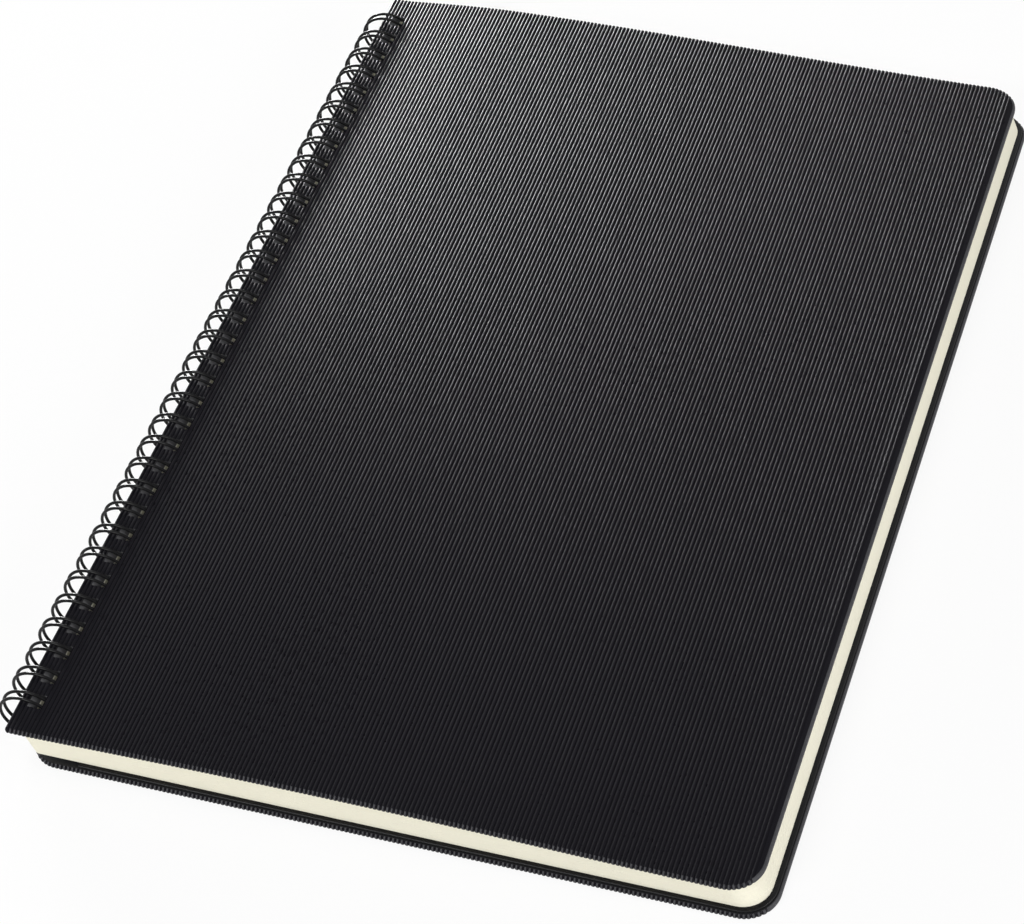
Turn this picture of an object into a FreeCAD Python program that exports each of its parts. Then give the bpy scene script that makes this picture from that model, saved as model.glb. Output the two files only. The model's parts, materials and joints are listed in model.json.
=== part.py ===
import FreeCAD, Part
import math
import os
from FreeCAD import Vector

# A wire-bound notebook lying closed, front cover up, spine at -X, fore edge at +X.
# Sizes are millimetres. The sheets' length runs along Y, and the stack's thickness along Z.

# Covers: stiff boards with fine ribs outside that run along the spine
COVER_W = 206.0        # spine edge to fore edge
COVER_H = 301.0        # foot to head
COVER_T = 1.9          # inside face to rib crest
CORNER_R = 9.5         # rounded corners at the fore edge
SPINE_CORNER_R = 1.0   # nearly square corners at the spine
RIB_PITCH = 1.2
RIB_DEPTH = 0.28
PLAIN_EDGE = 2.6       # smooth band beside the fore edge
EDGE_ROUND = 0.7       # rounding of the outer arris at the fore edge

# Pages: one block of sheets, a little smaller than the covers
BLOCK_T = 9.2
LEAF_GAP = 0.1         # air above and below the block
END_OVERHANG = 2.0     # cover past the pages at head and foot
FORE_OVERHANG = 1.7    # cover past the pages at the fore edge
PAGE_MARGIN = 2.0      # sheet left between the holes and the spine edge

# The closed stack has slumped: each sheet lies a little further from the ring than the one above
SLUMP = 3.2            # from the front cover to the back cover
AXIS_CLEARANCE = 0.4   # between the spine edges of a cover turned right over and the other cover

# Pocket: thin card on the inside of the back cover, open towards the spine
POCKET_T = 0.8
POCKET_PANEL = 0.35    # thickness of the card
POCKET_SETBACK = 12.0  # from the cover's spine edge to the mouth
POCKET_INSET = 0.8     # from the cover's head, foot and fore edge
POCKET_SEAM = 3.0      # width of the folded strips that close three sides

# Wire: one length bent into pairs of legs, closed to a ring
WIRE_D = 0.9
PITCH = 25.4 / 3       # three loops to the inch
LEG_SPACING = 2.3      # between the two legs of one loop
RING_ROOM = 0.69       # inside of the ring past the outer faces of the covers
WIRE_SIDES = 6         # the round wire is drawn with six sides and short straight runs,
LEG_STEPS = 14         # because it goes round the ring 68 times
TIP_STEPS = 3
BEND_STEPS = 1
BEND_R = 1.0           # bend from a leg into the bar between two loops
TIP_GAP = 0.35         # between a loop's closed tip and the bar line
END_ROOM = 6.0         # least distance from the sheets' ends to the first and last loop

# Punched holes
HOLE_PLAY = 0.16       # around the wire, across the spine
HOLE_PLAY_Y = 0.55     # beside the pair of legs, along the spine
BAR_PLAY = 0.12        # between the bars and the back cover
GROOVE_PLAY = 0.25     # around the bars in the foot of the page block

STACK_T = 2 * COVER_T + 2 * LEAF_GAP + BLOCK_T + POCKET_T
PAGE_H = COVER_H - 2 * END_OVERHANG
WIRE_R = WIRE_D / 2
OUTSIDE = STACK_T / 2              # outer faces of the covers, from the ring's axis
RING_R = OUTSIDE + RING_ROOM + HOLE_PLAY + WIRE_R
INSIDE = OUTSIDE - COVER_T         # inner faces of the covers
BLOCK_HIGH = INSIDE - LEAF_GAP
BLOCK_LOW = BLOCK_HIGH - BLOCK_T
LOOPS = int((PAGE_H - 2 * END_ROOM) / PITCH) + 1
FIRST_LOOP_Y = (COVER_H - (LOOPS - 1) * PITCH) / 2


# The ring's axis is the Y line x = 0, z = 0 while the parts are made.
def ring_x(radius, z):
    return math.sqrt(radius ** 2 - z ** 2)


HOLE_LOW = ring_x(RING_R - WIRE_R - HOLE_PLAY, OUTSIDE)
HOLE_HIGH = ring_x(RING_R + WIRE_R + HOLE_PLAY, INSIDE)
HOLE_X = HOLE_HIGH - HOLE_LOW
HOLE_Y = LEG_SPACING + WIRE_D + 2 * HOLE_PLAY_Y
FRONT_X = (AXIS_CLEARANCE - SLUMP) / 2       # spine edge of the front cover
BACK_X = FRONT_X + SLUMP
SLOPE = SLUMP / (OUTSIDE + INSIDE)           # slump of the sheets for each mm down
# the slanting holes in the block clear the outside of the ring
PAGE_HOLE_X = (RING_R + WIRE_R + HOLE_PLAY) * math.hypot(1, SLOPE) - HOLE_X
PAGE_X = PAGE_HOLE_X - PAGE_MARGIN
PAGE_END_X = (FRONT_X + BACK_X) / 2 + COVER_W - FORE_OVERHANG

# The bars between loops lie inside the back cover, and the loops' tips end just above them.
BAR_Z = -INSIDE + WIRE_R + BAR_PLAY
BASE_ANGLE = math.asin(BAR_Z / math.hypot(RING_R, BEND_R)) - math.atan2(BEND_R, RING_R)
BAR_X = RING_R * math.cos(BASE_ANGLE) - BEND_R * math.sin(BASE_ANGLE)
TIP_ANGLE = math.atan2(BAR_Z, BAR_X) + (WIRE_D + TIP_GAP + LEG_SPACING / 2) / RING_R


def on_ring(angle, y):
    return Vector(RING_R * math.cos(angle), y, RING_R * math.sin(angle))


def tangent(angle):
    return Vector(-math.sin(angle), 0, math.cos(angle))


def round_the_ring(y, downward):
    """Corners of one leg of a loop, from the bars round to the tip, or back."""
    start, end = BASE_ANGLE + 2 * math.pi, TIP_ANGLE
    step = (end - start) / LEG_STEPS
    # corners a little outside the circle and sides a little inside it
    swell = 2 / (1 + math.cos(step / 2))
    corners = [on_ring(start + i * step, y) for i in range(LEG_STEPS + 1)]
    middle = [Vector(p.x * swell, p.y, p.z * swell) for p in corners[1:-1]]
    corners = [corners[0]] + middle + [corners[-1]]
    return corners if downward else corners[::-1]


def tip(y):
    """Half circle between the two legs of the loop centred on y, without its ends."""
    turns = [math.pi * i / TIP_STEPS for i in range(1, TIP_STEPS)]
    half = LEG_SPACING / 2
    return [on_ring(TIP_ANGLE, y - half * math.cos(t)) - tangent(TIP_ANGLE) * half * math.sin(t)
            for t in turns]


def bend(y, side):
    """Quarter circle from the foot of a leg at y to a bar that runs to side +1 or -1 in Y."""
    turns = [math.pi / 2 * i / BEND_STEPS for i in range(1, BEND_STEPS + 1)]
    return [on_ring(BASE_ANGLE, y + side * BEND_R * (1 - math.cos(t)))
            + tangent(BASE_ANGLE) * BEND_R * math.sin(t) for t in turns]


def wire_path():
    """The whole centre line: leg, tip, leg, bend, bar, bend, leg and so on."""
    half = LEG_SPACING / 2
    points = []
    for k in range(LOOPS):
        y = FIRST_LOOP_Y + k * PITCH
        if k:
            points += bend(y - half, -1)[::-1]
        points += round_the_ring(y - half, True) + tip(y) + round_the_ring(y + half, False)
        if k < LOOPS - 1:
            points += bend(y + half, 1)
    return points


def tube(points, radius, sides):
    """Solid bar of regular section along straight runs, mitred at each corner."""
    runs = [(b - a).normalize() for a, b in zip(points, points[1:])]
    axis = Vector(0, 1, 0)
    across = axis.cross(runs[0])
    turns = [2 * math.pi * i / sides for i in range(sides)]
    ring = [points[0] + (axis * math.cos(t) + across * math.sin(t)) * radius for t in turns]
    rings = [ring]
    for i, run in enumerate(runs):
        mitre = run if i == len(runs) - 1 else run + runs[i + 1]
        ring = [p + run * ((points[i + 1] - p).dot(mitre) / run.dot(mitre)) for p in ring]
        rings.append(ring)
    faces = [Part.Face(Part.makePolygon(r + r[:1])) for r in (rings[0], rings[-1])]
    for low, high in zip(rings, rings[1:]):
        for i in range(sides):
            j = (i + 1) % sides
            quad = [low[i], low[j], high[j], high[i], low[i]]
            faces.append(Part.Face(Part.makePolygon(quad)))
    shell = Part.makeCompound(faces)
    shell.sewShape()
    return Part.Solid(shell.Shells[0])


def wire_binding():
    # a section with the area of the round wire
    area = math.pi * WIRE_R ** 2
    radius = math.sqrt(2 * area / (WIRE_SIDES * math.sin(2 * math.pi / WIRE_SIDES)))
    points = wire_path()
    solid = tube(points, radius, WIRE_SIDES)
    length = sum((b - a).Length for a, b in zip(points, points[1:]))
    print("wire length %.0f mm, volume %.1f, section x length %.1f" % (length, solid.Volume, area * length))
    return solid


def arc(a, middle, b):
    return Part.Arc(a, middle, b).toShape()


def plan(x0, x1, y0, y1, spine_r, fore_r):
    """Flat outline with small corners at the spine and large ones at the fore edge."""
    q = math.sqrt(0.5)
    edges = []
    corners = [(x0, y0, spine_r, -1, -1), (x1, y0, fore_r, 1, -1),
               (x1, y1, fore_r, 1, 1), (x0, y1, spine_r, -1, 1)]
    ends = []
    for x, y, r, sx, sy in corners:
        cx, cy = x - sx * r, y - sy * r
        side, end = Vector(x, cy, 0), Vector(cx, y, 0)
        first, last = (side, end) if sx * sy > 0 else (end, side)
        ends.append((first, Vector(cx + sx * r * q, cy + sy * r * q, 0), last))
    for i, (first, middle, last) in enumerate(ends):
        edges += [Part.makeLine(ends[i - 1][2], first), arc(first, middle, last)]
    return Part.Face(Part.Wire(edges))


def holes(low, bottom, rise):
    """The row of square holes, as one compound of prisms that rise from z = bottom."""
    prisms = []
    for k in range(LOOPS):
        y = FIRST_LOOP_Y + k * PITCH - HOLE_Y / 2
        square = Part.makePlane(HOLE_X, HOLE_Y, Vector(low, y, bottom))
        prisms.append(square.extrude(rise))
    return Part.makeCompound(prisms)


def cover_profile(spine_x):
    """Section of the front cover across the spine: flat inside, ribs outside."""
    valley = OUTSIDE - RIB_DEPTH
    end_x = spine_x + COVER_W
    count = int((COVER_W - PLAIN_EDGE) / RIB_PITCH)
    points = [(spine_x, INSIDE), (spine_x, valley)]
    for i in range(count):
        x = spine_x + i * RIB_PITCH
        points += [(x + RIB_PITCH / 2, OUTSIDE), (x + RIB_PITCH, valley)]
    points.append((spine_x + (count + 0.5) * RIB_PITCH, OUTSIDE))
    points = [Vector(x, 0, z) for x, z in points]
    edges = [Part.makeLine(a, b) for a, b in zip(points, points[1:])]
    q = EDGE_ROUND * (1 - math.sqrt(0.5))
    before = Vector(end_x - EDGE_ROUND, 0, OUTSIDE)
    after = Vector(end_x, 0, OUTSIDE - EDGE_ROUND)
    corner = Vector(end_x, 0, INSIDE)
    edges += [Part.makeLine(points[-1], before),
              arc(before, Vector(end_x - q, 0, OUTSIDE - q), after),
              Part.makeLine(after, corner), Part.makeLine(corner, points[0])]
    return Part.Face(Part.Wire(edges))


def cover(spine_x):
    """A cover in the front cover's place, ribs up, with its spine edge at spine_x."""
    board = cover_profile(spine_x).extrude(Vector(0, COVER_H, 0))
    outline = plan(spine_x, spine_x + COVER_W, 0, COVER_H, SPINE_CORNER_R, CORNER_R)
    outline.translate(Vector(0, 0, INSIDE - 1))
    board = board.common(outline.extrude(Vector(0, 0, COVER_T + 2)))
    return board.cut(holes(HOLE_LOW, INSIDE - 1, Vector(0, 0, COVER_T + 2)))


def back_cover():
    return cover(BACK_X).mirror(Vector(0, 0, 0), Vector(0, 0, 1))


def down_the_slump(x, z):
    return x - SLOPE * z


def page_block():
    """Sheets whose edges and holes slant with the slump."""
    outline = plan(PAGE_X, PAGE_END_X, END_OVERHANG, COVER_H - END_OVERHANG, SPINE_CORNER_R,
                   CORNER_R - FORE_OVERHANG)
    outline.translate(Vector(down_the_slump(0, BLOCK_LOW), 0, BLOCK_LOW))
    block = outline.extrude(Vector(-SLOPE * BLOCK_T, 0, BLOCK_T))
    tall = BLOCK_T + 2
    low = BLOCK_LOW - 1
    block = block.cut(holes(down_the_slump(PAGE_HOLE_X, low), low, Vector(-SLOPE * tall, 0, tall)))
    # the last sheets give way to the bars of the wire
    room = WIRE_R + GROOVE_PLAY
    groove = Part.makeBox(2 * room, (LOOPS - 1) * PITCH, BAR_Z + room - low,
                          Vector(BAR_X - room, FIRST_LOOP_Y, low))
    return block.cut(groove)


def inner_pocket():
    """Card panel with seams at head, foot and fore edge; the slot under it opens to the spine."""
    x0, x1 = BACK_X + POCKET_SETBACK, BACK_X + COVER_W - POCKET_INSET
    y0, y1 = POCKET_INSET, COVER_H - POCKET_INSET
    outline = plan(x0, x1, y0, y1, SPINE_CORNER_R, CORNER_R - POCKET_INSET)
    outline.translate(Vector(0, 0, -INSIDE))
    card = outline.extrude(Vector(0, 0, POCKET_T))
    slot = Part.makeBox(x1 - x0 - POCKET_SEAM + 1, y1 - y0 - 2 * POCKET_SEAM, POCKET_T - POCKET_PANEL + 1,
                        Vector(x0 - 1, y0 + POCKET_SEAM, -INSIDE - 1))
    return card.cut(slot)


def lay_down(parts):
    """Lean the book until its ring and the back cover's fore edge both touch the table.

    The ring reaches lower than the cover, so the lean is about half a degree.
    Its box is then centred on the origin, with its underside at z = 0.
    """
    low = -parts["wire_binding"].BoundBox.ZMin
    heel = BACK_X + COVER_W - EDGE_ROUND
    lean = math.asin(low / math.hypot(heel, OUTSIDE)) - math.atan2(OUTSIDE, heel)
    for shape in parts.values():
        shape.rotate(Vector(0, 0, 0), Vector(0, 1, 0), math.degrees(lean))
    box = Part.makeCompound(list(parts.values())).BoundBox
    move = Vector(-box.Center.x, -box.Center.y, -box.ZMin)
    for shape in parts.values():
        shape.translate(move)
    print("lean %.4f deg, ring axis at x %.4f, z %.4f" % (math.degrees(lean), move.x, move.z))


def main():
    os.makedirs("parts", exist_ok=True)
    parts = {"front_cover": cover(FRONT_X), "back_cover": back_cover(),
             "inner_pocket": inner_pocket(), "page_block": page_block(),
             "wire_binding": wire_binding()}
    lay_down(parts)
    for name, shape in parts.items():
        shape.exportStep("parts/%s.step" % name)
        box = shape.BoundBox
        print("%-13s valid %s, volume %.0f, x %.2f..%.2f, y %.2f..%.2f, z %.2f..%.2f" % (
            name, shape.isValid(), shape.Volume, box.XMin, box.XMax, box.YMin, box.YMax,
            box.ZMin, box.ZMax))
    print("loops %d, hole %.2f x %.2f, ring radius %.2f, spine edges %.2f and %.2f from the axis" % (
        LOOPS, HOLE_X, HOLE_Y, RING_R, FRONT_X, BACK_X))
    print("page hole %.2f, page edges %.2f %.2f, hole low %.2f, bar %.2f %.2f" % (
        PAGE_HOLE_X, PAGE_X, PAGE_END_X, HOLE_LOW, BAR_X, BAR_Z))


main()
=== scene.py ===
# %% [markdown]
# # A wire-bound notebook
# The closed book lies on its back cover. Two stiff boards with fine ribs hold a block of
# cream sheets, a black card pocket lines the back cover, and one length of black wire,
# bent into pairs of loops, runs through a row of square holes. The imported CAD model gives
# every place, so the first step loads it and keeps its parts, joints and record.

# %% The CAD frame
import json
import math
import random

import bpy
from mathutils import Matrix, Vector
from mathutils.geometry import tessellate_polygon


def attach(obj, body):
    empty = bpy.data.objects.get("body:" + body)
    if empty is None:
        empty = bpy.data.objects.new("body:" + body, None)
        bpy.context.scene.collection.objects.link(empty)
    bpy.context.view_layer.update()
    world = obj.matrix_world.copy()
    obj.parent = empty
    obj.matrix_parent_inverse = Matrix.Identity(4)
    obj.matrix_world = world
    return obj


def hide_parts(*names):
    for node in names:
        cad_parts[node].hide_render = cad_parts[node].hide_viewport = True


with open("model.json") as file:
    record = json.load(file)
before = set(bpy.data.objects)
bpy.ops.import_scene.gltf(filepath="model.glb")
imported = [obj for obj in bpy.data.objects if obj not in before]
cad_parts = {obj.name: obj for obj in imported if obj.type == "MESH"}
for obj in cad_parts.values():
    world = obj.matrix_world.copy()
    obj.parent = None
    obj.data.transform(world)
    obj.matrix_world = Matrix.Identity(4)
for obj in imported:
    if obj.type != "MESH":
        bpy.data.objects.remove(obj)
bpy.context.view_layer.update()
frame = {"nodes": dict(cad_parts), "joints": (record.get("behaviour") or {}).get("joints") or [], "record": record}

print("nodes", sorted(frame["nodes"]))

# %% [markdown]
# ## Sizes
# The builder of such a book works from a few lengths: the boards, the ribs pressed into
# them, the block of sheets, and the pitch of the wire. Nearly all are the lengths of the
# CAD model in millimetres. The corners of the back cover at the spine, the plain strip at
# the fore edge and the place of the pocket are read from the photograph more closely. All
# are measured from the axis of the wire ring, so that each piece is drawn in the same
# simple place: the axis is x = 0, z = 0, and the foot of the book y = 0.

# %% Lengths in millimetres
COVER_W, COVER_H, COVER_T = 206.0, 301.0, 1.9
CORNER_R, SPINE_CORNER_R = 9.5, 1.0
BACK_CORNER_R = 8.5                 # at the spine of the back cover
RIB_PITCH, RIB_DEPTH, PLAIN_EDGE = 1.2, 0.28, 2.0
OUTSIDE = 7.0                       # outer faces of both covers, from the ring's axis
INSIDE = OUTSIDE - COVER_T
SLUMP = 3.2                         # the stack has slid this far from top to bottom
FRONT_X, BACK_X = -1.4, 1.8         # spine edges of the covers
SLOPE = SLUMP / (OUTSIDE + INSIDE)
BLOCK_HIGH, BLOCK_LOW = 5.0, -4.2
END_OVERHANG, FORE_OVERHANG, PAGE_MARGIN = 2.0, 1.7, 2.0
RING_R, WIRE_R = 8.3, 0.45
PITCH, LEG_SPACING, BEND_R = 25.4 / 3, 2.3, 1.0
LOOPS, FIRST_LOOP_Y = 34, 10.8
HOLE_PLAY, HOLE_Y = 0.16, 4.3
HOLE_LOW = math.sqrt((RING_R - WIRE_R - HOLE_PLAY) ** 2 - OUTSIDE ** 2)
HOLE_HIGH = math.sqrt((RING_R + WIRE_R + HOLE_PLAY) ** 2 - INSIDE ** 2)
HOLE_X = HOLE_HIGH - HOLE_LOW
POCKET_T, POCKET_SETBACK, POCKET_INSET = 0.8, 15.5, 0.9
print("holes run from %.2f to %.2f mm" % (HOLE_LOW, HOLE_HIGH))

# %% [markdown]
# ## The lie of the book
# The ring is a little taller than the stack, so the closed book leans on it by half a
# degree. The record of the model gives both facts: the hinge of the front cover is the
# ring's axis, and the mount that rests on the table points straight out of the back cover.

# %% Millimetres round the ring's axis to metres on the table
ring_axis = frame["joints"][0]["pos_m"]
lean = math.asin(-frame["record"]["mounts"][0]["axis"][0])
LIE = (Matrix.Translation((ring_axis[0], -COVER_H / 2000, ring_axis[2]))
       @ Matrix.Rotation(lean, 4, "Y") @ Matrix.Scale(0.001, 4))
print("lean %.3f degrees" % math.degrees(lean))

# %% [markdown]
# ## A book that has been handled
# A used book doesn't lie quite flat. The sheets have swollen a little between the ring and
# the fore edge, so the front cover is crowned by two millimetres, and its fore corners
# hang lower. The rise is worked out along the foot and along the head and runs straight
# from one to the other. The sheets share it by their height in the block.

# %% Rise of the front cover and the sheets
BOW_START = 0.03                    # share of the width beside the ring that stays flat
FOOT_BOW = (0.45, 1.7, -0.3)        # place of the crest, its rise, and the rise at the fore edge
HEAD_BOW = (0.22, 2.1, -1.6)


def crown(u, peak, height, end):
    if u < peak:
        return height * math.sin(math.pi / 2 * max(0.0, u - BOW_START) / (peak - BOW_START))
    return end + (height - end) * (1 + math.cos(math.pi * (u - peak) / (1 - peak))) / 2


def settled(point):
    x, y, z = point
    u, v = min(1.0, (x - FRONT_X) / COVER_W), y / COVER_H
    share = max(0.0, min(1.0, (z - BLOCK_LOW) / (INSIDE - BLOCK_LOW)))
    return (x, y, z + share * ((1 - v) * crown(u, *FOOT_BOW) + v * crown(u, *HEAD_BOW)))


print("rise %.2f mm at the middle of the foot" % settled((COVER_W / 2, 0, OUTSIDE))[2])

# %% [markdown]
# ## Pieces
# A piece is a list of points and a list of faces, and each face names its finish by a
# number. One function lays the piece on the table, gives it its finishes and says which
# body of the model it rides on. Faces are shaded smooth, either up to a given angle or by
# directions that are worked out corner by corner.

# %% From points and faces to a piece
def piece(name, points, faces, body, finishes, kinds=None, smooth=30, shade=None):
    mesh = bpy.data.meshes.new(name)
    mesh.from_pydata([LIE @ Vector(p) for p in points], [], faces)
    for finish in finishes:
        mesh.materials.append(finish)
    if kinds:
        mesh.polygons.foreach_set("material_index", kinds)
    mesh.validate()
    mesh.polygons.foreach_set("use_smooth", [True] * len(mesh.polygons))
    if shade:
        turn = LIE.to_3x3().normalized()
        mesh.normals_split_custom_set(
            [turn @ direction if direction else face.normal
             for face in mesh.polygons for direction in shade(face)])
    else:
        mesh.set_sharp_from_angle(angle=math.radians(smooth))
    made = bpy.data.objects.new(name, mesh)
    bpy.context.scene.collection.objects.link(made)
    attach(made, body)
    print("%s: %d faces" % (name, len(mesh.polygons)))
    return made


# %% [markdown]
# ## Finishes
# Every finish is a small graph of nodes. Written out by hand such a graph is long, so one
# class wraps an output and lets Python's own + - * / add the Math nodes, and a second
# class holds the material and makes any other node from its settings and its values.

# %% Arithmetic on node outputs
class Signal:
    def __init__(self, finish, socket):
        self.finish, self.socket = finish, socket

    def maths(self, operation, a, b):
        return self.finish.node("ShaderNodeMath", {"operation": operation}, {0: a, 1: b})

    def __add__(self, other):
        return self.maths("ADD", self, other)

    def __mul__(self, other):
        return self.maths("MULTIPLY", self, other)

    def __sub__(self, other):
        return self.maths("SUBTRACT", self, other)

    def __rsub__(self, other):
        return self.maths("SUBTRACT", other, self)

    def __truediv__(self, other):
        return self.maths("DIVIDE", self, other)

    __radd__, __rmul__ = __add__, __mul__


# %% [markdown]
# The second class begins with a shader and its constants. It has one method that adds any
# node, and short names for what nearly every finish needs: a noise, a mix and a bump.

# %% A material under construction
class Finish:
    def __init__(self, name, **constants):
        self.material = bpy.data.materials.new(name)
        self.material.use_nodes = True
        self.tree = self.material.node_tree
        self.shader = self.tree.nodes["Principled BSDF"]
        for name, value in constants.items():
            self.shader.inputs[name.replace("_", " ")].default_value = value

    def node(self, kind, settings=None, values=None, output=0):
        made = self.tree.nodes.new(kind)
        for name, value in (settings or {}).items():
            if name == "stops":
                for place, shade in value:
                    stop = made.color_ramp.elements.new(place)
                    stop.color = (shade, shade, shade, 1)
                made.color_ramp.elements.remove(made.color_ramp.elements[0])
                made.color_ramp.elements.remove(made.color_ramp.elements[-1])
            else:
                setattr(made, name, value)
        for name, value in (values or {}).items():
            self.feed(made.inputs[name], value)
        return Signal(self, made.outputs[output])

    def feed(self, socket, value):
        if isinstance(value, Signal):
            self.tree.links.new(value.socket, socket)
        else:
            socket.default_value = value

    def place(self, stretch=(1, 1, 1)):
        """Where a point of the piece is, stretched along the axes."""
        coordinates = self.node("ShaderNodeTexCoord", output="Object")
        return self.node("ShaderNodeVectorMath", {"operation": "MULTIPLY"},
                         {0: coordinates, 1: stretch})

    def noise(self, scale, stretch=(1, 1, 1), detail=3.0, roughness=0.5):
        return self.node("ShaderNodeTexNoise", values={
            "Vector": self.place(stretch), "Scale": scale, "Detail": detail,
            "Roughness": roughness})

    def mix(self, factor, a, b):
        return self.node("ShaderNodeMix", {"data_type": "RGBA"},
                         {0: factor, 6: a, 7: b}, output=2)

    def bump(self, height, distance, strength=1.0):
        return self.node("ShaderNodeBump", values={
            "Height": height, "Distance": distance, "Strength": strength})

    def use(self, **values):
        for name, value in values.items():
            self.feed(self.shader.inputs[name.replace("_", " ")], value)
        return self.material


# %% [markdown]
# The covering is black embossed paper with a satin coating, and most of what is seen of it
# is the light that its ribs throw back. So the colour is nearly black with a breath of
# blue, the gloss is weak, and a faint grain keeps the long ribs from looking drawn with a
# ruler.

# %% Black ribbed covering
def ribbed_covering():
    finish = Finish("ribbed_covering", Specular_IOR_Level=0.07,
                    Specular_Tint=(0.96, 0.92, 1.0, 1))
    grain = finish.noise(900.0, (1.0, 0.35, 1.0), 4.0, 0.6)
    cloud = finish.noise(11.0, detail=2.0)
    colour = finish.mix(cloud, (0.0042, 0.0040, 0.0060, 1), (0.0058, 0.0056, 0.0078, 1))
    return finish.use(Base_Color=colour, Roughness=0.23 + 0.07 * grain + 0.04 * cloud,
                      Normal=finish.bump(grain, 0.00003, 0.5))


covering = ribbed_covering()


# %% [markdown]
# Where the covering is turned round the edge of a board, its crests are painted a dull
# grey, a painted highlight for the light that the rounded edge catches. This draws a row
# of pale ticks along the foot.

# %% Painted highlight on the covering, round the edges of the boards
def painted_edge_highlight():
    finish = Finish("painted_edge_highlight", Specular_IOR_Level=0.2)
    grain = finish.noise(1300.0, (1.0, 1.0, 1.0), 4.0, 0.65)
    # The paler grey is a painted highlight for light caught on the rounded edges.
    colour = finish.mix(grain, (0.020, 0.020, 0.024, 1), (0.078, 0.078, 0.084, 1))
    return finish.use(Base_Color=colour, Roughness=0.45 + 0.2 * grain,
                      Normal=finish.bump(grain, 0.00004, 0.6))


edge_highlight_paint = painted_edge_highlight()


# %% [markdown]
# The inner faces of the boards are lined with plain black paper. It has no coating, so it
# is duller than the covering, and short fibres give it a slight tooth.

# %% Black lining paper
def lining_paper():
    finish = Finish("lining_paper", Specular_IOR_Level=0.2)
    fibre = finish.noise(2500.0, (1.0, 0.5, 1.0), 4.0, 0.65)
    colour = finish.mix(fibre, (0.006, 0.006, 0.007, 1), (0.011, 0.011, 0.012, 1))
    return finish.use(Base_Color=colour, Roughness=0.52 + 0.15 * fibre,
                      Normal=finish.bump(fibre, 0.00002, 0.6))


lining = lining_paper()


# %% [markdown]
# A punched hole cuts through covering and lining and shows the board between them. It is
# grey pulp pressed in plies, so the noise is squeezed along the thickness.

# %% Grey board, seen where the holes are punched
def grey_board():
    finish = Finish("grey_board", Roughness=0.9)
    plies = finish.noise(1500.0, (1.0, 1.0, 6.0), 3.0, 0.6)
    colour = finish.mix(plies, (0.05, 0.05, 0.055, 1), (0.13, 0.13, 0.135, 1))
    return finish.use(Base_Color=colour, Normal=finish.bump(plies, 0.00004, 0.7))


board_core = grey_board()


# %% [markdown]
# The paper is uncoated and cream. On the edges of the block the cut sheets show as thin
# darker lines, drawn by a noise that is stretched far along the sheets and squeezed
# across them. A broad second noise lets the cream wander a little.

# %% Cream sheets
def cream_paper():
    finish = Finish("cream_paper", Roughness=0.88, Specular_IOR_Level=0.25)
    sheets = finish.noise(420.0, (0.03, 0.03, 9.0), 4.0, 0.7)
    fibre = finish.noise(1800.0, (1.0, 1.0, 1.0), 3.0, 0.6)
    cloud = finish.noise(14.0, (1.0, 1.0, 4.0), 2.0)
    warm = finish.mix(cloud, (0.86, 0.83, 0.69, 1), (0.89, 0.865, 0.735, 1))
    edge = finish.mix(0.16 * sheets, warm, (0.50, 0.46, 0.34, 1))
    return finish.use(Base_Color=edge, Normal=finish.bump(sheets + 0.3 * fibre, 0.00005, 0.5))


paper = cream_paper()


# %% [markdown]
# The steel wire wears a coat of black nylon. It is smooth and close to mirror-like, with
# the small dimples that such a coat keeps from the bending.

# %% Black coated wire
def coated_wire():
    finish = Finish("coated_wire", Specular_IOR_Level=0.12)
    dimple = finish.noise(700.0, detail=2.0)
    colour = finish.mix(dimple, (0.0020, 0.0020, 0.0024, 1), (0.0035, 0.0035, 0.0040, 1))
    return finish.use(Base_Color=colour, Roughness=0.18 + 0.10 * dimple,
                      Normal=finish.bump(dimple, 0.00003, 0.4))


wire_finish = coated_wire()


# %% [markdown]
# The pocket is folded from smooth black card. Pressing has given it a dull shine, so its
# folded edge catches a line of light.

# %% Black card of the pocket
def black_card():
    finish = Finish("black_card", Specular_IOR_Level=0.2)
    fibre = finish.noise(2100.0, (0.5, 1.0, 1.0), 4.0, 0.65)
    colour = finish.mix(fibre, (0.0025, 0.0025, 0.0030, 1), (0.0045, 0.0045, 0.0050, 1))
    return finish.use(Base_Color=colour, Roughness=0.26 + 0.12 * fibre,
                      Normal=finish.bump(fibre, 0.00002, 0.6))


card = black_card()

# %% [markdown]
# ## Covers
# Each board is wrapped in its ribbed covering, so the ribs run straight up the face, over
# the rounded edge and down the side. That is one mesh: fine samples across the ribs, long
# strips along them, and a section of the edge carried round the outline of the board.

# %% The ribs' height and slope
ARRIS, INNER_ARRIS = 0.75, 0.85     # roundings of the edge outside and inside
SAMPLES = 10                        # points across one rib
CREST_POWER = 2.2                   # 2 is a round crest, more is a flatter one
HIGHLIGHT_DROP = 0.05                  # the crests round the edge are painted pale, a painted highlight, down to here
TOO_CLOSE = 0.005                   # columns nearer than this are one
HAIR = 0.001                        # more than a rounding error
COVERING, LINING, CORE, PAINTED_HIGHLIGHT = range(4)     # numbers of the finishes of a board


def rib_drop(x):
    """How far the covering lies below the crests at x from the spine edge."""
    if x < RIB_PITCH / 2 or x > COVER_W - PLAIN_EDGE:
        return 0.0
    aside = abs(2 * (x / RIB_PITCH % 1) - 1)
    return RIB_DEPTH * aside ** CREST_POWER


def takes_painted_highlight(x):
    """True for the crests and the plain strip, where they go round the edge and get a painted highlight."""
    return x > RIB_PITCH and rib_drop(x) < HIGHLIGHT_DROP


def rib_slope(x, step=0.004):
    return (rib_drop(x + step) - rib_drop(x - step)) / (2 * step)


# %% [markdown]
# Half of the outline is worked out once, from the spine along the foot and round the fore
# corner to the fore edge, and the other half is its mirror image. Each point carries the
# direction that leads straight out of the board. The ribs need a point every tenth of
# their pitch, also in the corners, so the columns of the face run on into the edge.

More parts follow.
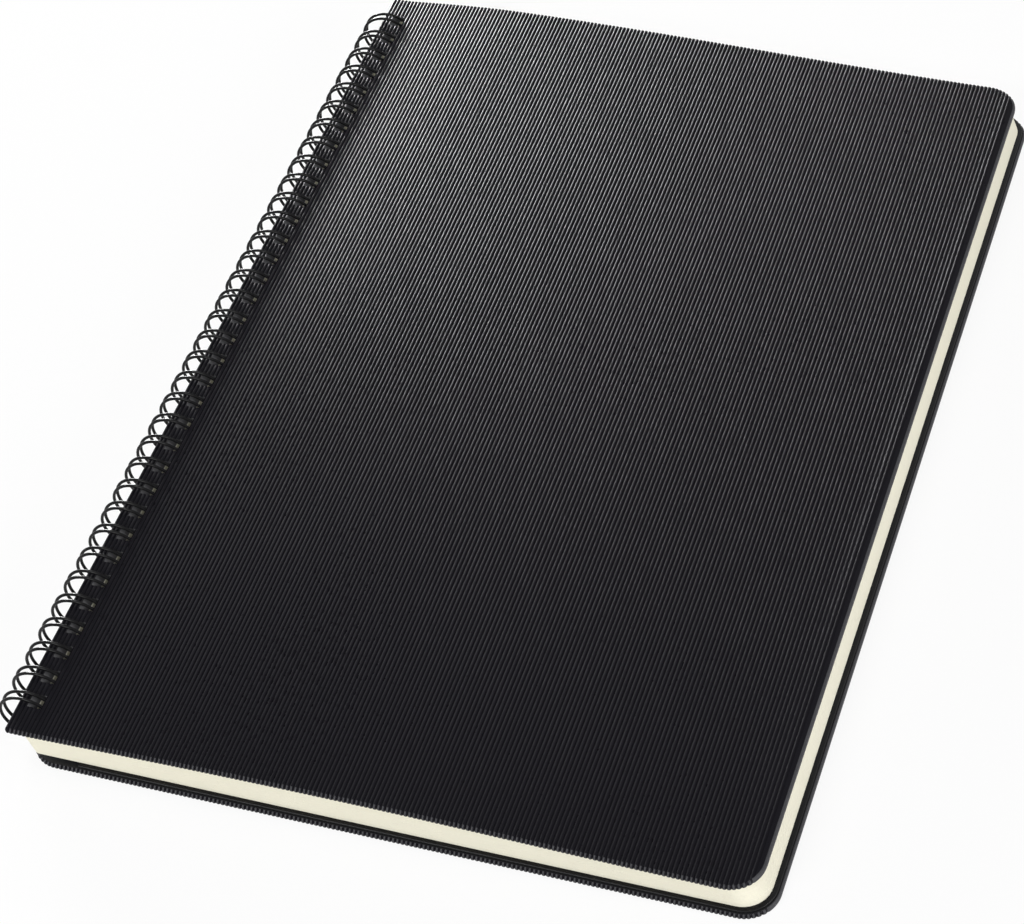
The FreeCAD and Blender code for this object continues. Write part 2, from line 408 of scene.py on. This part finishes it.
# %% Points and directions along the foot, from the spine to the fore edge
def foot_line(spine_r, extra):
    step = RIB_PITCH / SAMPLES
    xs = [i * step for i in range(int((COVER_W - PLAIN_EDGE) / step) + 1)] + list(extra)
    fore = COVER_W - CORNER_R
    line = []
    first, rounds = math.acos(1 - step / spine_r), 8
    for i in range(rounds):
        t = first * i / rounds
        line.append((spine_r * (1 - math.cos(t)), spine_r * (1 - math.sin(t)),
                     -math.cos(t), -math.sin(t)))
    for x in sorted(xs):
        if x - line[-1][0] < TOO_CLOSE:
            continue
        if x < spine_r:
            t = math.acos(1 - x / spine_r)
            line.append((x, spine_r * (1 - math.sin(t)), -math.cos(t), -math.sin(t)))
        elif x < fore:
            line.append((x, 0.0, 0.0, -1.0))
        else:
            t = math.asin((x - fore) / CORNER_R)
            line.append((x, CORNER_R * (1 - math.cos(t)), math.sin(t), -math.cos(t)))
    start, rounds = math.asin((line[-1][0] - fore) / CORNER_R), 14
    for i in range(1, rounds + 1):
        t = start + (math.pi / 2 - start) * i / rounds
        line.append((fore + CORNER_R * math.sin(t), CORNER_R * (1 - math.cos(t)),
                     math.sin(t), -math.cos(t)))
    return line


# %% [markdown]
# The section of the edge starts on the outer face, goes round the outer arris, down the
# side and round the inner arris. The ribs fade away on the inner arris, where the covering
# is pasted down under the lining.

# %% Section of the edge: distance in, height above the inner face, direction, depth of ribs
def edge_section():
    section, steps = [], 5
    for i in range(steps + 1):
        t = math.pi / 2 * (1 - i / steps)
        section.append((ARRIS * (1 - math.cos(t)), COVER_T - ARRIS * (1 - math.sin(t)),
                        math.cos(t), math.sin(t), 1.0))
    for i, share in enumerate((1.0, 1.0, 0.95, 0.8, 0.5, 0.0)):
        t = -math.pi / 2 * i / steps
        section.append((INNER_ARRIS * (1 - math.cos(t)), INNER_ARRIS * (1 + math.sin(t)),
                        math.cos(t), math.sin(t), share))
    return section


# %% [markdown]
# The outer and the inner face are strips between neighbouring columns of points. In the
# columns that cross the holes the strips are broken, and four walls of bare board join
# the two faces round each hole. The holes of the front cover lean a little, because the
# wire runs through them aslant.

# %% One cover, drawn as the front cover
class CoverMesh:
    """Points, faces and shading of a cover whose spine edge is at x = 0."""

    def __init__(self, spine_r, outer_hole, inner_hole):
        self.points, self.normals, self.faces, self.kinds = [], [], [], []
        self.foot = foot_line(spine_r, outer_hole + inner_hole)
        outline = self.foot + [(x, COVER_H - y, nx, -ny) for x, y, nx, ny in reversed(self.foot)]
        section = edge_section()
        for d, z, out, up, share in section:
            for x, y, nx, ny in outline:
                self.add(x - nx * d, y - ny * d, z, (nx * out, ny * out, up), share)
        count = len(outline)
        for row in range(len(section) - 1):
            for i in range(count):
                j = (i + 1) % count
                middle = (outline[i][0] + outline[j][0]) / 2
                # Edge faces over the crests and the plain strip take the painted highlight finish.
                self.face((row * count + i, (row + 1) * count + i,
                           (row + 1) * count + j, row * count + j),
                          LINING if row == len(section) - 2
                          else PAINTED_HIGHLIGHT if takes_painted_highlight(middle) else COVERING)
        outer = self.fill(0, count, outer_hole, COVERING)
        inner = self.fill((len(section) - 1) * count, count, inner_hole, LINING)
        for above, below in zip(outer, inner):
            self.walls(above, below)

    def add(self, x, y, z, direction, share):
        sink = rib_drop(x) * share
        self.points.append((x - direction[0] * sink, y - direction[1] * sink,
                            z - direction[2] * sink))
        self.normals.append((Vector(direction), x, share))
        return len(self.points) - 1

    def face(self, corners, kind):
        self.faces.append(tuple(corners))
        self.kinds.append(kind)

    def fill(self, start, count, hole, kind):
        """One face of the cover. Returns the columns of points of each hole."""
        z, up, share = (COVER_T, 1.0, 1.0) if kind == COVERING else (0.0, -1.0, 0.0)
        columns = []
        for j, (x, y, nx, ny) in enumerate(self.foot):
            low, high = start + j, start + count - 1 - j
            column = [low]
            if hole[0] - HAIR < x < hole[1] + HAIR:
                for a, b in hole_spans():
                    column += [self.add(x, side, z, (0, 0, up), share) for side in (a, b)]
            columns.append(column + [high])
        for here, there in zip(columns, columns[1:]):
            if len(here) == 2 or len(there) == 2:
                strips = [here + there[::-1]]
            else:
                strips = [(here[i], here[i + 1], there[i + 1], there[i])
                          for i in range(0, len(here), 2)]
            for strip in strips:
                self.face(strip[::-1] if kind == COVERING else strip, kind)
        crossed = [column for column in columns if len(column) > 2]
        return [[(column[i], column[i + 1]) for column in crossed]
                for i in range(1, len(crossed[0]) - 1, 2)]

    def walls(self, above, below):
        for side in (0, 1):
            wall = [pair[side] for pair in above] + [pair[side] for pair in reversed(below)]
            self.face(wall if side == 0 else wall[::-1], CORE)
        self.face((above[0][1], above[0][0], below[0][0], below[0][1]), CORE)
        self.face((above[-1][0], above[-1][1], below[-1][1], below[-1][0]), CORE)


def hole_spans():
    middles = [FIRST_LOOP_Y + k * PITCH for k in range(LOOPS)]
    return [(y - HOLE_Y / 2, y + HOLE_Y / 2) for y in middles]


# %% [markdown]
# Flat strips along the ribs would be shaded in steps. The true slope of a rib is known, so
# each corner of a face is told the direction in which the rib faces there. At the bottom
# of a valley the slope jumps, and each face takes it from its own side.

# %% Directions in which the ribs face, corner by corner
NUDGE = 0.01                        # the slope is taken this far inside the face


def rib_shading(cover, flip):
    across = Vector((1, 0, 0))

    def shade(face):
        if face.material_index == CORE:
            return [None] * len(face.vertices)
        numbers = list(face.vertices)
        xs = [cover.normals[v][1] for v in numbers]
        middle = (min(xs) + max(xs)) / 2
        found = []
        for v, x in zip(numbers, xs):
            direction, _, share = cover.normals[v]
            inside = x + max(-NUDGE, min(NUDGE, middle - x))
            slope = rib_slope(inside) * share
            leaning = direction + slope * (across - across.dot(direction) * direction)
            found.append(Vector((leaning.x, leaning.y, leaning.z * flip)).normalized())
        return found
    return shade


# %% [markdown]
# Both covers come from the same mesh. The back cover is turned over, and its corners at
# the spine are rounder. The front cover lies on the swollen sheets and takes their crown.

# %% Front and back cover
def make_cover(name, spine_x, spine_r, body, flip, outer_hole, inner_hole):
    holes = [tuple(x - spine_x for x in hole) for hole in (outer_hole, inner_hole)]
    cover = CoverMesh(spine_r, *holes)
    points = [(x + spine_x, y, flip * (z + INSIDE)) for x, y, z in cover.points]
    if flip == 1:
        points = [settled(point) for point in points]
    faces = [face[::flip] for face in cover.faces]
    return piece(name, points, faces, body, (covering, lining, board_core, edge_highlight_paint),
                 cover.kinds, shade=rib_shading(cover, flip))


straight_hole = (HOLE_LOW, HOLE_HIGH)
slanting_hole = (1.6, 5.55), (3.5, 7.35)     # on the outer and the inner face
front = make_cover("front_board", FRONT_X, SPINE_CORNER_R, "front_cover", 1, *slanting_hole)
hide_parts("front_cover")
back = make_cover("back_board", BACK_X, BACK_CORNER_R, "back_cover", -1,
                  straight_hole, straight_hole)
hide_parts("back_cover")

# %% [markdown]
# ## Sheets
# About ninety sheets lie on each other, each a hair further out than the one above. The
# block is one closed mesh with a fine groove between the leaves, so that its edges catch
# the light in lines.

# %% Half the outline of a sheet, from the spine along the foot to the fore edge
HOLE_START = (RING_R + WIRE_R + HOLE_PLAY) * math.hypot(1, SLOPE) - HOLE_X   # at z = 0


def sheet_line():
    x0 = HOLE_START - PAGE_MARGIN
    x1 = (FRONT_X + BACK_X) / 2 + COVER_W - FORE_OVERHANG
    near, fore = SPINE_CORNER_R, CORNER_R - FORE_OVERHANG
    rounds, steps = 10, 26
    quarter = [math.pi / 2 * i / rounds for i in range(rounds + 1)]
    line = [(x0 + near * (1 - math.cos(t)), near * (1 - math.sin(t)), -math.cos(t), -math.sin(t))
            for t in quarter]
    first, last = HOLE_START + HOLE_X, x1 - fore
    line += [(HOLE_START, 0, 0, -1)]
    line += [(first + (last - first) * i / steps, 0, 0, -1) for i in range(steps)]
    line += [(last + fore * math.sin(t), fore * (1 - math.cos(t)), math.sin(t), -math.cos(t))
             for t in quarter]
    return [(x, y + END_OVERHANG, nx, ny) for x, y, nx, ny in line]


# %% [markdown]
# The side of the block goes up in forty leaves of a few sheets each. Every leaf stands in
# or out by a few hundredths of a millimetre, as in a block that was cut and then opened
# many times.

# %% The block of leaves
LEAVES = 40
UNEVEN, LEAF_EDGE, GROOVE = 0.05, 0.03, 0.07    # set back at most, arris, groove between leaves


def page_mesh():
    foot = sheet_line()
    outer = foot + [(x, COVER_H - y, nx, -ny) for x, y, nx, ny in reversed(foot)]
    chance = random.Random(5)
    leaf = (BLOCK_HIGH - BLOCK_LOW) / LEAVES
    levels = []
    for i in range(LEAVES):
        out = -UNEVEN * chance.random()
        low = BLOCK_LOW + i * leaf
        levels += [(low + LEAF_EDGE, out), (low + leaf - LEAF_EDGE, out)]
        if i < LEAVES - 1:
            levels.append((low + leaf, out - GROOVE))
    levels[0] = (BLOCK_LOW, levels[0][1])
    levels[-1] = (BLOCK_HIGH, levels[-1][1])
    points, faces = [], []
    for z, out in levels:
        points += [(x + nx * out - SLOPE * z, y + ny * out, z) for x, y, nx, ny in outer]
    n = len(outer)
    for row in range(len(levels) - 1):
        for i in range(n):
            j = (i + 1) % n
            faces.append((row * n + i, row * n + j, (row + 1) * n + j, (row + 1) * n + i))
    hole_faces(points, faces, foot, n, (len(levels) - 1) * n)
    return [settled(point) for point in points], faces


# %% [markdown]
# The holes slant with the stack. In the foot of the block a shallow channel joins them,
# because the last sheets give way to the bars of the wire.

# %% Holes and channel of the block
BAR_PLAY, TIP_GAP, CHANNEL_PLAY = 0.12, 0.35, 0.25
BAR_Z = -INSIDE + WIRE_R + BAR_PLAY
BASE_ANGLE = math.asin(BAR_Z / math.hypot(RING_R, BEND_R)) - math.atan2(BEND_R, RING_R)
BAR_X = RING_R * math.cos(BASE_ANGLE) - BEND_R * math.sin(BASE_ANGLE)
TIP_ANGLE = math.atan2(BAR_Z, BAR_X) + (2 * WIRE_R + TIP_GAP + LEG_SPACING / 2) / RING_R
CHANNEL = WIRE_R + CHANNEL_PLAY


def bottom_faces(points, outline, comb):
    """Triangles that face down, between the outline and the channel with its holes."""
    numbers = outline + comb
    loops = [[Vector(points[i]) for i in loop] for loop in (outline, comb)]
    made = []
    for triangle in tessellate_polygon(loops):
        a, b, c = (numbers[i] for i in triangle)
        first, second = (Vector(points[i]) - Vector(points[a]) for i in (b, c))
        made.append((a, c, b) if first.cross(second).z > 0 else (a, b, c))
    return made


def top_faces(foot, n, start, squares):
    """The top sheet in strips across the book, broken where they cross the holes."""
    columns = []
    for j, (x, y, nx, ny) in enumerate(foot):
        corners = {HOLE_START: (0, 7), HOLE_START + HOLE_X: (3, 4)}.get(x, ())
        inner = [square[c] for square in squares for c in corners]
        columns.append([start + j] + inner + [start + n - 1 - j])
    faces = []
    for here, there in zip(columns, columns[1:]):
        if len(here) == 2 or len(there) == 2:
            faces.append((here + there[::-1])[::-1])
            continue
        below = here[:1] + there[:1]
        for s in squares:
            faces.append(below + [s[3], s[2], s[1], s[0]])
            below = [s[7], s[6], s[5], s[4]]
        faces.append(below + [there[-1], here[-1]])
    return faces


def hole_faces(points, faces, foot, n, top_start):
    near, far, roof = BAR_X - CHANNEL, BAR_X + CHANNEL, BAR_Z + CHANNEL
    spans = hole_spans()

    def add(loop):
        points.extend(loop)
        return list(range(len(points) - len(loop), len(points)))

    def square(z, a, b):
        low, high = HOLE_START - SLOPE * z, HOLE_START + HOLE_X - SLOPE * z
        return [(low, a, z), (near, a, z), (far, a, z), (high, a, z),
                (high, b, z), (far, b, z), (near, b, z), (low, b, z)]

    def comb(z):
        squares = [square(z, a, b) for a, b in spans]
        up, down = [squares[0][0]], []
        for k, s in enumerate(squares):
            up += ([] if k == 0 else [s[2]]) + [s[3], s[4]] + ([] if k == LOOPS - 1 else [s[5]])
        for k, s in reversed(list(enumerate(squares))):
            down += ([] if k == LOOPS - 1 else [s[6]]) + [s[7]]
            down += [] if k == 0 else [s[0], s[1]]
        return up + down

    def wall(lower, upper):
        for i in range(len(lower)):
            j = (i + 1) % len(lower)
            faces.append((lower[j], lower[i], upper[i], upper[j]))

    bottom, ceiling = add(comb(BLOCK_LOW)), add(comb(roof))
    wall(bottom, ceiling)
    tops = []
    for k, (a, b) in enumerate(spans):
        lower, upper = add(square(roof, a, b)), add(square(BLOCK_HIGH, a, b))
        wall(lower, upper)
        tops.append(upper)
        if k:
            faces.append((last[6], last[5], lower[2], lower[1]))
        last = lower
    faces += bottom_faces(points, list(range(n)), bottom)
    faces += top_faces(foot, n, top_start, tops)


points, faces = page_mesh()
sheets = piece("sheet_block", points, faces, "pages_and_wire", (paper,), smooth=25)
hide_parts("page_block")

# %% [markdown]
# ## Pocket
# A panel of black card is glued to the back cover along three folded seams. Its fourth
# side, towards the spine, is the mouth. The fold is a half round, which shows as a thin
# bright line between the sheets and the back cover.

# %% Card panel with folded seams
def pocket_mesh():
    x0, x1 = BACK_X + POCKET_SETBACK, BACK_X + COVER_W - POCKET_INSET
    y0, y1 = POCKET_INSET, COVER_H - POCKET_INSET
    r, fold, seam, slot = CORNER_R - POCKET_INSET, 0.2, 3.0, 0.45
    rounds, bends = 12, 4
    path = [(x0, y0, 0, -1)]
    for cy, start in ((y0 + r, -math.pi / 2), (y1 - r, 0)):
        for i in range(rounds + 1):
            t = start + math.pi / 2 * i / rounds
            nx, ny = math.cos(t), math.sin(t)
            path.append((x1 - r + r * nx, cy + r * ny, nx, ny))
    path.append((x0, y1, 0, 1))
    section = []
    for middle, first in ((POCKET_T - fold, math.pi / 2), (fold, 0)):
        for i in range(bends + 1):
            t = first - math.pi / 2 * i / bends
            section.append((fold * (1 - math.cos(t)), middle + fold * math.sin(t)))
    section += [(seam, 0), (seam, slot)]
    points, faces, n = [], [], len(path)
    for d, z in section:
        points += [(x - nx * d, y - ny * d, z - INSIDE) for x, y, nx, ny in path]
    rows = len(section)
    for s in range(rows - 1):
        for i in range(n - 1):
            faces.append((s * n + i, (s + 1) * n + i, (s + 1) * n + i + 1, s * n + i + 1))
    faces.append(tuple(range(n)))
    faces.append(tuple(reversed(range((rows - 1) * n, rows * n))))
    ends = [s * n for s in range(rows)] + [s * n + n - 1 for s in reversed(range(rows))]
    faces.append(tuple(reversed(ends)))
    return points, faces


points, faces = pocket_mesh()
pocket = piece("card_pocket", points, faces, "back_cover", (card,), smooth=40)
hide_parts("inner_pocket")

# %% [markdown]
# ## Wire
# The binding is one length of coated wire. It goes round the ring as a pair of legs,
# turns back in a small half round, the tip of the loop, and runs to the next pair along a
# short bar. The bars and tips hide in the foot of the block, where neither cover passes.

# %% Centre line of the wire
def on_ring(angle, y):
    return Vector((RING_R * math.cos(angle), y, RING_R * math.sin(angle)))


def along_ring(angle):
    return Vector((-math.sin(angle), 0, math.cos(angle)))


def leg(y, steps=44):
    start = BASE_ANGLE + 2 * math.pi
    return [on_ring(start + (TIP_ANGLE - start) * i / steps, y) for i in range(steps + 1)]


def tip(y, steps=8):
    half = LEG_SPACING / 2
    turns = [math.pi * i / steps for i in range(1, steps)]
    return [on_ring(TIP_ANGLE, y - half * math.cos(t))
            - along_ring(TIP_ANGLE) * half * math.sin(t) for t in turns]


def bend(y, side, steps=5):
    turns = [math.pi / 2 * i / steps for i in range(1, steps + 1)]
    return [on_ring(BASE_ANGLE, y + side * BEND_R * (1 - math.cos(t)))
            + along_ring(BASE_ANGLE) * BEND_R * math.sin(t) for t in turns]


def centre_line():
    half, line = LEG_SPACING / 2, []
    for k in range(LOOPS):
        y = FIRST_LOOP_Y + k * PITCH
        if k:
            line += bend(y - half, -1)[::-1]
        line += leg(y - half) + tip(y) + leg(y + half)[::-1]
        if k < LOOPS - 1:
            line += bend(y + half, 1)
    return line


# %% [markdown]
# A round section is then carried along the line. At each point it is turned only as far as
# the line turns, so that the wire isn't twisted and its gloss runs on unbroken.

# %% Round section carried along the line
def wire_mesh(sides=12):
    line = centre_line()
    runs = [(b - a).normalized() for a, b in zip(line, line[1:])]
    runs = [runs[0]] + [(a + b).normalized() for a, b in zip(runs, runs[1:])] + [runs[-1]]
    side = Vector((0, 1, 0))
    points, faces = [], []
    for at, run in zip(line, runs):
        side = (side - run * side.dot(run)).normalized()
        across = run.cross(side)
        for i in range(sides):
            t = 2 * math.pi * i / sides
            points.append(at + (side * math.cos(t) + across * math.sin(t)) * WIRE_R)
    for row in range(len(line) - 1):
        for i in range(sides):
            j = (i + 1) % sides
            faces.append((row * sides + i, row * sides + j,
                          (row + 1) * sides + j, (row + 1) * sides + i))
    faces.append(tuple(reversed(range(sides))))
    faces.append(tuple(range(len(points) - sides, len(points))))
    return points, faces


points, faces = wire_mesh()
wire = piece("wire_loops", points, faces, "pages_and_wire", (wire_finish,),
             smooth=60)
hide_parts("wire_binding")

# %% [markdown]
# ## Camera
# The photograph looks down on the book from beyond its fore edge and foot. The numbers
# below were worked out from the straight edges of the covers and the spacing of the loops.

# %% Camera
FOCAL_PX, FRAME_W = 3048.6, 1024
SHIFT_PX = (81.9, -31.9)            # optical centre right of and below the middle of the frame
CAMERA_AT = Vector((0.25132, -0.54076, 0.64677))
LOOK, UP = Vector((-0.271087, 0.616257, -0.739418)), Vector((-0.163825, 0.727435, 0.666333))
data = bpy.data.cameras.new("camera")
data.sensor_fit, data.sensor_width = "HORIZONTAL", 36.0
data.lens = FOCAL_PX / FRAME_W * data.sensor_width
data.shift_x, data.shift_y = -SHIFT_PX[0] / FRAME_W, SHIFT_PX[1] / FRAME_W
data.clip_start, data.clip_end = 0.05, 20
camera = bpy.data.objects.new("camera", data)
bpy.context.scene.collection.objects.link(camera)
right = LOOK.cross(UP).normalized()
camera.matrix_world = Matrix.Translation(CAMERA_AT) @ Matrix(
    (right, UP, -LOOK)).transposed().to_4x4()
bpy.context.scene.camera = camera
print("camera %.0f mm from the middle of the book" % (CAMERA_AT.length * 1000))

# %% [markdown]
# ## Floor and light
# The book lies on a white table in a white room. The table is a plain pale sheet that
# keeps a soft shadow, and to the eye of the camera it is nearly as bright as the room.

# %% Floor
PLAIN_WHITE = 0.9                   # share of plain white in what the camera sees of the table


def clear_sight(finish):
    """1 for what the camera sees straight, in a gloss or through a clear piece."""
    path = finish.node("ShaderNodeLightPath").socket.node
    rays = [Signal(finish, path.outputs["Is %s Ray" % kind])
            for kind in ("Camera", "Glossy", "Transmission")]
    return rays[0] + rays[1] + rays[2]


def white_table():
    finish = Finish("white_table", Roughness=0.8, Specular_IOR_Level=0.1)
    white = finish.node("ShaderNodeEmission", values={"Color": (1, 1, 1, 1), "Strength": 1.0})
    seen = finish.node("ShaderNodeMixShader", values={
        0: PLAIN_WHITE * clear_sight(finish),
        1: Signal(finish, finish.shader.outputs[0]), 2: white})
    output = finish.tree.nodes["Material Output"]
    finish.feed(output.inputs["Surface"], seen)
    return finish.use(Base_Color=(0.92, 0.92, 0.92, 1))


def make_floor(half=3.0):
    mesh = bpy.data.meshes.new("table")
    mesh.from_pydata([(-half, -half, 0), (half, -half, 0), (half, half, 0), (-half, half, 0)],
                     [], [(0, 1, 2, 3)])
    mesh.materials.append(white_table())
    table = bpy.data.objects.new("table", mesh)
    bpy.context.scene.collection.objects.link(table)


make_floor()

# %% [markdown]
# Most of the light comes from two large soft boxes at the right and in front. A third one
# stands low behind the spine at the left. The ribs throw it back in a sheen, brightest
# near the head, and the loops of the wire keep it off the strip beside them.

# %% Room and lamps
def make_room(strength):
    world = bpy.data.worlds.new("room")
    bpy.context.scene.world = world
    world.use_nodes = True
    nodes, links = world.node_tree.nodes, world.node_tree.links
    back = nodes["Background"]
    back.inputs["Color"].default_value = (1, 1, 1, 1)
    back.inputs["Strength"].default_value = strength
    seen = nodes.new("ShaderNodeBackground")
    seen.inputs["Color"].default_value = (1, 1, 1, 1)
    path, choice = nodes.new("ShaderNodeLightPath"), nodes.new("ShaderNodeMixShader")
    sight = path.outputs["Is Camera Ray"]
    for kind in ("Glossy", "Transmission"):
        total = nodes.new("ShaderNodeMath")
        links.new(sight, total.inputs[0])
        links.new(path.outputs["Is %s Ray" % kind], total.inputs[1])
        sight = total.outputs[0]
    links.new(sight, choice.inputs[0])
    links.new(back.outputs[0], choice.inputs[1])
    links.new(seen.outputs[0], choice.inputs[2])
    links.new(choice.outputs[0], nodes["World Output"].inputs["Surface"])


def lamp(name, at, aim, size, watts):
    data = bpy.data.lights.new(name, "AREA")
    data.shape, data.size, data.size_y, data.energy = "RECTANGLE", size[0], size[1], watts
    made = bpy.data.objects.new(name, data)
    bpy.context.scene.collection.objects.link(made)
    made.location = at
    made.rotation_euler = (Vector(aim) - Vector(at)).to_track_quat("-Z", "Y").to_euler()


make_room(strength=0.2)
lamp("soft_box_behind", (-0.9, 1.0, 0.15), (-0.1, 0.15, 0), (0.45, 0.16), 36)
lamp("soft_box_right", (1.3, -0.25, 0.55), (0, 0, 0), (0.7, 0.5), 12)
lamp("soft_box_front", (-0.43, -1.15, 0.95), (0, 0, 0), (0.6, 0.5), 13)

# %% [markdown]
# ## Finish
# The view is plain.

# %% View
bpy.context.scene.view_settings.view_transform = "Standard"
